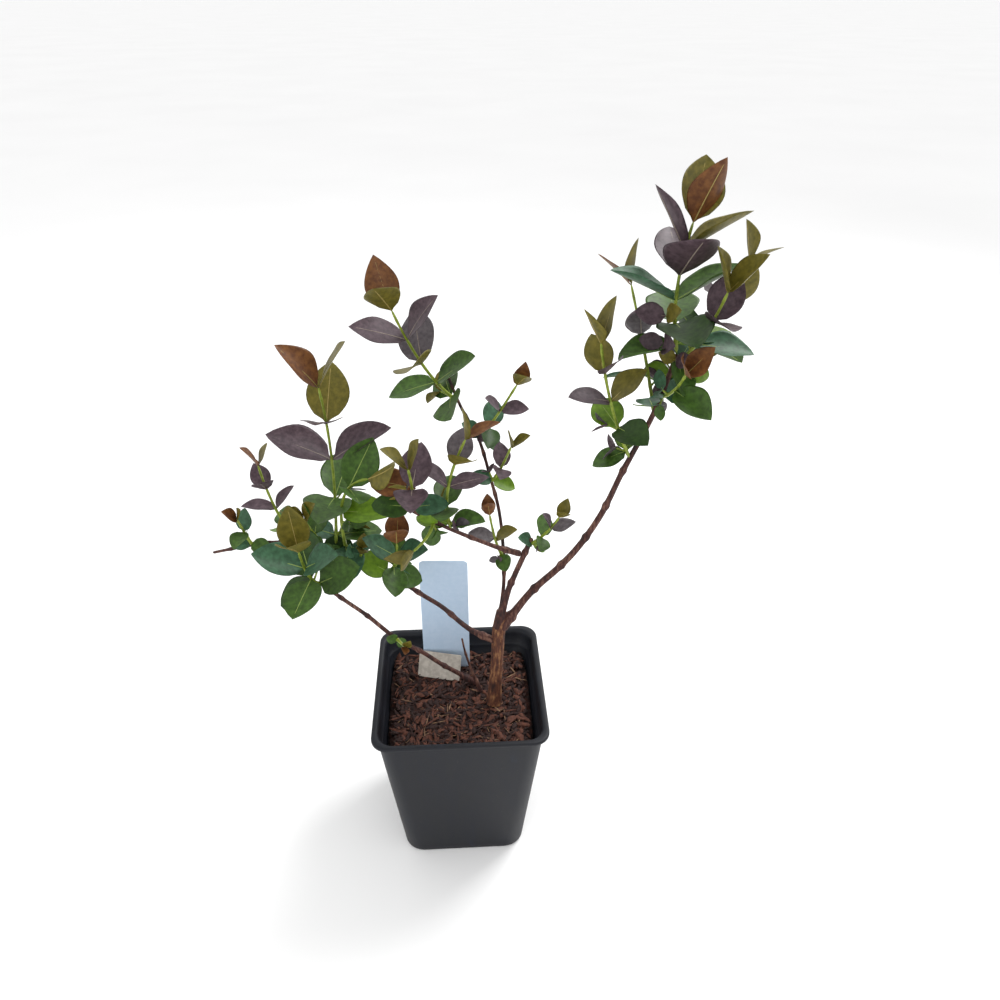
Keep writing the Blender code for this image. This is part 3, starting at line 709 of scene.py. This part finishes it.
def grow_shoots():
    """All stems as (path, foot radius, tip radius), and all leaves with the name of their shoot."""
    stems, leaves = [], []
    blocked = [node_tree(name) for name in ("trunk", *LIMBS)]
    for name, shoot in SHOOTS.items():
        draw = random.Random(f"{SEED} {name}")
        path = np.array([stem_point(shoot.path, t)[0] for t in np.linspace(0, 1, STEM_RINGS)])
        stems.append((path, *STEM_RADII))
        grown = leaves_of(shoot, draw)
        for twig in side_twigs(shoot, draw):
            stems.append((np.linspace(twig[0], twig[1], STEM_RINGS), *TWIG_RADII))
            grown += twig_leaves(twig, draw)
        clear = (keep_clear(leaf, blocked) for leaf in grown)
        leaves += [(name, leaf) for leaf in clear if leaf]
    return stems, leaves


STEMS, LEAVES = grow_shoots()
print(len(STEMS), "stems and twigs,", len(LEAVES), "leaves")

# %% [markdown]
# Green stems are thin tubes, a little thicker at each pair of leaves. They stand for all
# the shoots' solids, and the blades are added as pieces of their own, one for each tint.

# %% Stems
STEM_SIDES = 8
STEM_GREEN = plain_tissue("stem_young_green", "#75862a", "#93a33c", 0.5)


def make_stems():
    """Each stem: radius falls from foot to tip, with a 25% swelling at five places along it."""
    share = np.linspace(0, 1, STEM_RINGS)
    swell = 1 + 0.25 * np.exp(-((share * 5 % 1 - 0.5) / 0.12)**2)
    closed = np.where((share == 0) | (share == 1), 0.0, 1.0)
    grids = np.array([tube(path, (foot + (tip - foot) * share) * swell * closed, STEM_SIDES)
                      for path, foot, tip in STEMS])
    quads = repeated(grids, grid_faces(STEM_RINGS, STEM_SIDES, True))
    mesh_piece("green_stems", grids, quads, STEM_GREEN, "foliage", *SHOOTS)


make_stems()

# %% [markdown]
# A blade is a closed thin shell. Its outline is a blunt oval on a short stalk, it folds
# upwards along the midrib, curls down to the tip and waves a little at the edge. All the
# leaves of a tint are computed at once: arrays of roots, directions and sizes on one side,
# a grid of the two parameters on the other.

# %% Leaf blades
BLADE_ROWS = 15
BLADE_LOOP = 14
BLADE_THICK = 0.32      # mm
BLADE_WIDER = 1.3       # the solid's straight-sided blade is narrower than its oval
BLADE_FOLD = 0.10       # how far the edges stand above the midrib, share of the width
BLADE_WAVE = 0.05
BLADE_TWIST = 0.22
STALK_HALF = 0.4        # mm
STALK_SHARE = 0.2


def along_grid(low, high, count):
    """The parameter along a piece, shaped for arrays of many pieces."""
    return np.linspace(low, high, count)[None, :, None, None]


def round_grid(count):
    """The angle round a piece, shaped for arrays of many pieces."""
    return np.linspace(0, 2 * math.pi, count, endpoint=False)[None, None, :, None]


def blade_frames(leaves):
    """Roots, the three directions, and the sizes of many leaves as arrays with room for a grid."""
    root = np.array([leaf.root for leaf in leaves])[:, None, None]
    along = unit(np.array([leaf.along for leaf in leaves]))
    up = np.array([leaf.up for leaf in leaves])
    up = unit(up - along * (up * along).sum(1, keepdims=True))
    side = np.cross(along, up)
    length, width, curl = (np.array([getattr(leaf, key) for leaf in leaves])[:, None, None, None]
                           for key in ("length", "width", "curl"))
    return root, along[:, None, None], up[:, None, None], side[:, None, None], length, width, curl


def outline(u, age):
    """Half-width share along a blade: a sine arch to a power, narrow over the stalk, sharper when young."""
    stalk = np.clip((u - 0.02) / 0.13, 0, 1)
    return np.sin(math.pi * np.clip(u, 0, 1)**0.92)**(0.62 + 0.3 * age) * stalk**0.8


def make_blades(name, leaves, finish, draw):
    """Points: root + along L u - up curl L u^2 + side half cos(a) + up (lift + thickness sin(a)).

    half is the outline's half-width at u, and lift is half times the fold, the edge's wave and a twist.
    """
    root, along, up, side, length, width, curl = blade_frames(leaves)
    u, angle = along_grid(0, 1, BLADE_ROWS), round_grid(BLADE_LOOP)
    age = np.array([leaf.age for leaf in leaves])[:, None, None, None]
    half = outline(u, age) * width / 2 * BLADE_WIDER
    fold = BLADE_FOLD * draw.uniform(0.6, 2.2, age.shape)
    wave = BLADE_WAVE * np.sin(u * 9 + draw.uniform(0, 6.28, age.shape) + np.sign(np.cos(angle)))
    twist = draw.uniform(-BLADE_TWIST, BLADE_TWIST, age.shape) * u
    lift = half * ((2 * fold + wave) * np.cos(angle)**2 + twist * np.cos(angle))
    ends = np.clip(np.minimum(u, 1 - u) / 0.04, 0, 1)
    thick = BLADE_THICK / 2 * np.sin(angle) * ends
    across = half * np.cos(angle) + STALK_HALF * np.cos(angle) * ends * (u < STALK_SHARE)
    points = root + along * length * u - up * curl * length * u**2 + side * across + up * (lift + thick)
    mesh_piece(name, points, repeated(points, grid_faces(BLADE_ROWS, BLADE_LOOP, True)), finish, "foliage")


print("a blade has", (BLADE_ROWS - 1) * BLADE_LOOP, "quads")

# %% [markdown]
# The midrib is a pale ridge that stands proud of both faces. It is a thin tube on the
# blade's own middle line, thinner towards the tip.

# %% Midribs
MIDRIB_SIDES = 6
MIDRIB_END = 0.93       # share of the leaf's length
MIDRIB_HALF = 0.42      # mm at the root
MIDRIB_TAPER = 0.2


def make_midribs(name, leaves, finish):
    """Points: root + along L u - up curl L u^2 + size (0.8 side cos(a) + up sin(a)), size falling with u."""
    root, along, up, side, length, _, curl = blade_frames(leaves)
    u, angle = along_grid(0.0, MIDRIB_END, BLADE_ROWS), round_grid(MIDRIB_SIDES)
    ends = np.where((u == 0) | (u == MIDRIB_END), 0.0, 1.0)
    size = (MIDRIB_HALF - MIDRIB_TAPER * u) * ends * np.clip(length / 24, 0.5, 1.1)
    points = (root + along * length * u - up * curl * length * u**2
              + size * (0.8 * side * np.cos(angle) + up * np.sin(angle)))
    mesh_piece(name, points, repeated(points, grid_faces(BLADE_ROWS, MIDRIB_SIDES, True)), finish, "foliage")


print("a midrib has", (BLADE_ROWS - 1) * MIDRIB_SIDES, "quads")

# %% [markdown]
# Whole leaves are dealt a tint by their place: bronze and olive at the tips, purple on the
# upper part of a flushed shoot, greens below.

# %% Deal out the leaves
TIP_AGE = 0.9
UPPER_AGE = 0.45
TIP_TINTS = ("bronze", "olive", "olive")
FLUSHED_TINTS = ("purple", "grey_purple", "purple", "olive")
UPPER_TINTS = ("green", "blue_green")
LOW_TINTS = ("green", "green", "blue_green", "dark_green", "bright_green")
VEIN_OF = {"purple": "purple", "grey_purple": "purple", "olive": "young", "bronze": "young"}


def tint_of(shoot, leaf, draw):
    """Young leaves at a tip are bronze or olive, the next ones purple, the oldest green."""
    if leaf.age > TIP_AGE:
        return draw.choice(TIP_TINTS)
    if leaf.age > UPPER_AGE:
        return draw.choice(FLUSHED_TINTS if shoot.flushed else UPPER_TINTS)
    return draw.choice(LOW_TINTS)


def dress_leaves():
    """Deal every leaf a tint, then build each tint's blades and their midribs."""
    draw = random.Random(SEED)
    dealt = {tint: [] for tint in LEAF_TINTS}
    for name, leaf in LEAVES:
        dealt[tint_of(SHOOTS[name], leaf, draw)].append(leaf)
    shapes = np.random.default_rng(SEED)
    for tint, leaves in dealt.items():
        if leaves:
            make_blades(f"leaves_{tint}", leaves, BLADES[tint], shapes)
            make_midribs(f"midribs_{tint}", leaves, VEINS[VEIN_OF.get(tint, "green")])


dress_leaves()

# %% [markdown]
# The pot's wall is one profile carried round a square with round corners: up the outside,
# over the rim's lip and down the inside past the stacking ledge. The profile starts at the
# middle of the underside and ends at the middle of the filling, under the loose bark, so
# the pot is one closed solid.

# %% Pot
POT_HEIGHT = 96.5
RIM_HALF = 45.0
NECK_HALF = 42.4
BASE_HALF = 33.4
RIM_CORNER = 9.0
BASE_CORNER = 11.0
WALL = 1.2
LIP = 2.2
FOOT_ROUND = 1.2        # height of the round edge at the foot
WALL_RINGS = 24
CORNER_COUNT = 12
SIDE_COUNT = 8


def square_ring(half, corner):
    """Ring of points: an arc round each corner and an even row along each side."""
    arc = np.linspace(0, math.pi / 2, CORNER_COUNT)
    quarter = np.stack((half - corner + corner * np.cos(arc), half - corner + corner * np.sin(arc)), -1)
    row = np.linspace(half - corner, -(half - corner), SIDE_COUNT + 2)[1:-1]
    quarter = np.vstack((quarter, np.stack((row, np.full(SIDE_COUNT, half)), -1)))
    turns = [np.array(((math.cos(a), math.sin(a)), (-math.sin(a), math.cos(a))))
             for a in np.arange(4) * math.pi / 2]
    return np.vstack([quarter @ turn for turn in turns])


def pot_profile():
    """Half-width and height of each ring: the outside, the lip and the inside with its ledge."""
    neck, inside, top = POT_HEIGHT - LIP, NECK_HALF - WALL, POT_HEIGHT
    foot = [(0.0, 0.0), (BASE_HALF - 4, 0.0), (BASE_HALF - 1.3, 0.0), (BASE_HALF - 0.5, 0.35),
            (BASE_HALF, FOOT_ROUND)]
    wall = [(BASE_HALF + (NECK_HALF - BASE_HALF) * s, FOOT_ROUND + (neck - 0.5 - FOOT_ROUND) * s)
            for s in np.linspace(0.03, 0.99, WALL_RINGS)]
    lip = [(NECK_HALF + 0.1, neck - 0.3), (NECK_HALF + 0.5, neck), (RIM_HALF - 0.6, neck + 0.05),
           (RIM_HALF, neck + 0.6), (RIM_HALF, top - 0.6), (RIM_HALF - 0.2, top - 0.15), (RIM_HALF - 0.7, top),
           (RIM_HALF - 2.2, top), (RIM_HALF - 2.8, top - 0.3), (inside, neck - 0.6)]
    ledge = [(inside - 0.3, top - 8.7), (inside - 1.1, top - 9.3), (inside - 1.4, top - 10)]
    filling = [(inside - 2.4, SOIL_TOP - 4), (0.0, SOIL_TOP - 4.5)]
    return foot + wall + lip + ledge + filling


def make_pot():
    """Surface(s, t) = profile(s) carried round the rounded square; corners tighten towards the rim."""
    rings = []
    for half, z in pot_profile():
        corner = min(BASE_CORNER + (RIM_CORNER - BASE_CORNER) * z / POT_HEIGHT, half * 0.98)
        ring = square_ring(half, corner)
        rings.append(np.column_stack((ring, np.full(len(ring), z))))
    rings = np.array(rings)
    return mesh_piece("pot_wall", rings, grid_faces(*rings.shape[:2], True), POT_PLASTIC, "pot", "pot")


POT = make_pot()

# %% [markdown]
# A nursery pot drains through holes in its floor. A Boolean modifier cuts each one, and is
# applied, so the holes are in the mesh.

# %% Drain holes
DRAIN_RADIUS = 3.6
DRAIN_INSET = 12.0      # drain hole's centre from the base's edge
DRAIN_DEPTH = 1.8       # thickness of the floor
DRAIN_SIDES = 40


def cut_drain_holes(pot):
    """Four round drain holes in the underside, each cut by a short closed cylinder."""
    place = (BASE_HALF - DRAIN_INSET) * MM
    for x, y in ((-1, -1), (1, -1), (1, 1), (-1, 1)):
        bpy.ops.mesh.primitive_cylinder_add(vertices=DRAIN_SIDES, radius=DRAIN_RADIUS * MM,
                                            depth=2 * DRAIN_DEPTH * MM, location=(x * place, y * place, 0))
        cutter = bpy.context.object
        hole = pot.modifiers.new("drain", "BOOLEAN")
        hole.operation = "DIFFERENCE"
        hole.solver = "EXACT"
        hole.object = cutter
        bpy.context.view_layer.objects.active = pot
        bpy.ops.object.modifier_apply(modifier="drain")
        bpy.data.objects.remove(cutter)
    print("pot_wall has", len(pot.data.polygons), "faces with its drain holes")


cut_drain_holes(POT)

# %% [markdown]
# The pot is filled with composted bark. Its fines are a rough surface, a sum of waves that
# cross one another in all directions, and the loose chips will lie on it.

# %% Bark fines
SOIL_HALF = 38.3
SOIL_COUNT = 70
SOIL_BOTTOM = SOIL_TOP - 3.8
SOIL_WAVES = ((19, 0.8), (9, 0.6), (4.5, 0.5), (2.3, 0.35))    # length and height, mm
SOIL_FINES = plain_tissue("bark_compost_fines", "#1a0b08", "#3a1a12", 0.95)


def soil_height(x, y):
    """Sum of crossed waves: height / 2 * sin(2 pi * distance along a random direction / length + shift)."""
    draw = np.random.default_rng(SEED)
    height = np.zeros_like(x)
    for size, depth in SOIL_WAVES:
        for _ in range(3):
            turn, shift = draw.uniform(0, 6.28, 2)
            height += depth / 2 * np.sin(6.28 * (x * math.cos(turn) + y * math.sin(turn)) / size + shift)
    return height


def rim_of_grid(count):
    """Indices of a square grid's border, once round."""
    last = count - 1
    return np.concatenate((np.arange(count), np.arange(1, count) * count + last,
                           last * count + np.arange(last - 1, -1, -1), np.arange(last - 1, 0, -1) * count))


def make_soil():
    """Height = level + the waves, sinking a little at the pot's wall. A skirt and a floor close the slab."""
    span = np.linspace(-1, 1, SOIL_COUNT)
    a, b = np.meshgrid(span, span, indexing="ij")
    x, y = SOIL_HALF * a * np.sqrt(1 - 0.09 * b**4), SOIL_HALF * b * np.sqrt(1 - 0.09 * a**4)
    z = SOIL_TOP - 0.6 + soil_height(x, y) - 1.5 * np.maximum(abs(a), abs(b))**8
    top = np.stack((x, y, z), -1)
    bottom = np.stack((x * 0.96, y * 0.96, np.full_like(x, SOIL_BOTTOM)), -1)
    quads = grid_faces(SOIL_COUNT, SOIL_COUNT, False)
    edge = rim_of_grid(SOIL_COUNT)
    after = np.roll(edge, -1)
    lower = SOIL_COUNT**2
    skirt = np.stack((edge, edge + lower, after + lower, after), -1)
    points = np.concatenate((top.reshape(-1, 3), bottom.reshape(-1, 3)))
    faces = np.vstack((quads, (quads + lower)[:, ::-1], skirt))
    mesh_piece("compost_surface", points, faces, SOIL_FINES, "compost", "compost")


make_soil()

# %% [markdown]
# The chips are flat shreds of bark from dark brown to rust, and a few pale fibres. They
# lie nearly level. A chip is a closed shape of five rings, like a leaf, made ragged by a
# random factor at every point.

# %% Bark chips
ChipSort = namedtuple("ChipSort", "name low high count lengths widths")
CHIP_SORTS = (ChipSort("dark", "#1d0d0a", "#35170f", 1300, (2.0, 7.0), (0.8, 2.8)),
              ChipSort("rust", "#3c1f16", "#6a3c2a", 600, (3.0, 10.0), (0.8, 3.2)),
              ChipSort("fibre", "#6b4c3a", "#937659", 150, (3.0, 11.0), (0.3, 0.9)))
CHIP_TIP = 0.22         # usual tip out of level, radians
CHIP_RAGGED = 0.35
CHIP_FLAT = 0.35        # thickness as a share of the width
CHIP_RINGS = (0.0, 0.9, 1.0, 0.75, 0.0)
CHIP_SIDES = 6


def lay_chip(sort, draw):
    """A chip at a random place and turn, kept inside the pot's wall."""
    place = draw.uniform(-SOIL_HALF + 3, SOIL_HALF - 3, 2)
    turn, tip = draw.uniform(0, 6.28), draw.normal(0, CHIP_TIP)
    along = np.array((math.cos(turn) * math.cos(tip), math.sin(turn) * math.cos(tip), math.sin(tip)))
    up = np.array((draw.normal(0, 0.3), draw.normal(0, 0.3), 1.0))
    length = draw.uniform(*sort.lengths)
    centre = np.array((*place, SOIL_TOP + draw.uniform(-0.6, 1.0)))
    limit = SOIL_HALF - 0.5 - abs(along[:2]) * length / 2
    centre[:2] = np.clip(centre[:2], -limit, limit)
    width, curl = draw.uniform(*sort.widths), draw.uniform(-0.1, 0.1)
    return Leaf(centre - along * length / 2, along, up, length, width, curl, 0.0)


def bark_chip(sort):
    """Broken bark: two tones in a rough mottle, matt, with a fine grain."""
    made, tree, shader = principled(f"bark_chip_{sort.name}", 0.85, 1.5)
    mottle = noise(tree, 1.2, 5, rough=0.7)
    tree.links.new(ramp(tree, mottle, (0.35, sort.low), (0.68, sort.high)), shader.inputs["Base Color"])
    bump(tree, shader, noise(tree, 0.5, 4), 0.12)
    return made


def make_chips():
    """Points: root + along L u - up 2 curl L u^2 + ring(u) ragged w/2 (side cos(a) + flat up sin(a))."""
    draw = np.random.default_rng(SEED + 1)
    rows = len(CHIP_RINGS)
    u, angle = along_grid(0, 1, rows), round_grid(CHIP_SIDES) + 0.5
    ring = np.array(CHIP_RINGS)[None, :, None, None]
    for sort in CHIP_SORTS:
        chips = [lay_chip(sort, draw) for _ in range(sort.count)]
        root, along, up, side, length, width, curl = blade_frames(chips)
        ragged = 1 + CHIP_RAGGED * draw.standard_normal((sort.count, rows, CHIP_SIDES, 1))
        points = (root + along * length * u - up * curl * length * u**2 * 2
                  + ring * ragged * width / 2 * (side * np.cos(angle) + CHIP_FLAT * up * np.sin(angle)))
        quads = repeated(points, grid_faces(rows, CHIP_SIDES, True))
        mesh_piece(f"bark_chips_{sort.name}", points, quads, bark_chip(sort), "compost")


make_chips()

# %% [markdown]
# The tag and the card are thin plastic sheets, bare on both sides. A sheet is a flat
# closed loop carried over its height, bowed a little, with rounded corners. It takes its
# place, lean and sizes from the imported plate.

# %% Tag and card
SHEET_ROWS = 24
SHEET_LOOP = 40
TAG_PLASTIC = plain_tissue("label_pale_blue_polystyrene", "#c3d9f0", "#c9ddf3", 0.4)
CARD_PLASTIC = plain_tissue("card_grey_cream_polystyrene", "#aaa298", "#c3bcb2", 0.6)


def plate_frame(node):
    """Centre, sizes and directions (tall, wide, thin) of a packed plate, by its principal axes."""
    places = np.unique(np.round(node_points(node), 3), axis=0)
    centre = places.mean(0)
    axes = np.linalg.svd(places - centre)[2]
    height, breadth, depth = (np.ptp((places - centre) @ axis) for axis in axes)
    tall, wide, _ = axes
    if abs(tall[2]) < abs(wide[2]):
        tall, wide, height, breadth = wide, tall, breadth, height
    tall = tall * np.sign(tall[2])
    return centre, (height, breadth, depth), (tall, wide, np.cross(wide, tall))


def squarish(wave):
    """A sine or cosine pushed out towards a square wave, for a section with flat sides."""
    return np.sign(wave) * abs(wave)**0.25


def make_sheet(name, node, finish, slot, bow, corner):
    """Points: centre + v height/2 tall + x wide + (z + bow (1 - (2 x / breadth)^2)) thin."""
    centre, (height, breadth, depth), (tall, wide, thin) = plate_frame(node)
    v = np.linspace(-1, 1, SHEET_ROWS)
    v = np.sign(v) * (1 - (1 - abs(v))**1.5)
    edge = np.clip(1 - abs(v), 0, 1) * height / 2
    inset = corner - np.sqrt(np.maximum(corner**2 - (corner - edge)**2, 0))
    half = breadth / 2 - np.where(edge < corner, inset, 0)
    angle = np.linspace(0, 2 * math.pi, SHEET_LOOP, endpoint=False)
    x = half[:, None] * squarish(np.cos(angle))[None]
    z = depth / 2 * squarish(np.sin(angle))[None] * np.clip(edge / 0.2, 0, 1)[:, None]
    bent = bow * (1 - (x / breadth * 2)**2)
    rows = centre + (v * height / 2)[:, None, None] * tall
    points = rows + x[..., None] * wide + (z + bent)[..., None] * thin
    mesh_piece(name, points, grid_faces(SHEET_ROWS, SHEET_LOOP, True), finish, slot, node)


make_sheet("label_sheet", "plant_label", TAG_PLASTIC, "label", 0.5, 2.0)
make_sheet("card_sheet", "label_card", CARD_PLASTIC, "card", 0.3, 1.0)

# %% [markdown]
# A real product shot of this kind stands on a white sweep under a broad soft light from
# the upper right, which throws a faint shadow to the lower left.

# %% Floor and light
FLOOR_HALF = 60000.0    # mm, far enough for its edge not to show
FLOOR_DROP = 0.05


def make_floor():
    """A large pale sweep under the pot."""
    made, tree, shader = principled("white_paper_sweep", 0.9)
    colour = ramp(tree, noise(tree, 400, 2), (0.3, "#f7f7f7"), (0.7, "#fafafa"))
    tree.links.new(colour, shader.inputs["Base Color"])
    corners = [(x * FLOOR_HALF * MM, y * FLOOR_HALF * MM, -FLOOR_DROP * MM)
               for x, y in ((-1, -1), (1, -1), (1, 1), (-1, 1))]
    mesh = bpy.data.meshes.new("floor")
    mesh.from_pydata(corners, [], [(0, 1, 2, 3)])
    floor = bpy.data.objects.new("floor", mesh)
    bpy.context.scene.collection.objects.link(floor)
    mesh.materials.append(made)


def add_light(name, place, aim, size, power):
    """Square area light at a place in mm, turned to its aim."""
    data = bpy.data.lights.new(name, "AREA")
    data.size = size * MM
    data.energy = power
    light = bpy.data.objects.new(name, data)
    bpy.context.scene.collection.objects.link(light)
    light.matrix_world = facing(unit(np.array(place, float) - aim), place)


def add_daylight():
    """Even white light from all round."""
    world = bpy.data.worlds.new("studio")
    world.use_nodes = True
    sky = world.node_tree.nodes["Background"]
    sky.inputs["Color"].default_value = (1, 1, 1, 1)
    sky.inputs["Strength"].default_value = 1.0
    bpy.context.scene.world = world
    bpy.context.scene.view_settings.view_transform = "Standard"


make_floor()
add_daylight()
add_light("key", (520, 420, 900), (0, 0, 120), 420, 7.0)
add_light("fill", (-500, -600, 600), (0, 0, 150), 700, 1.5)
print("floor, daylight and two lights")
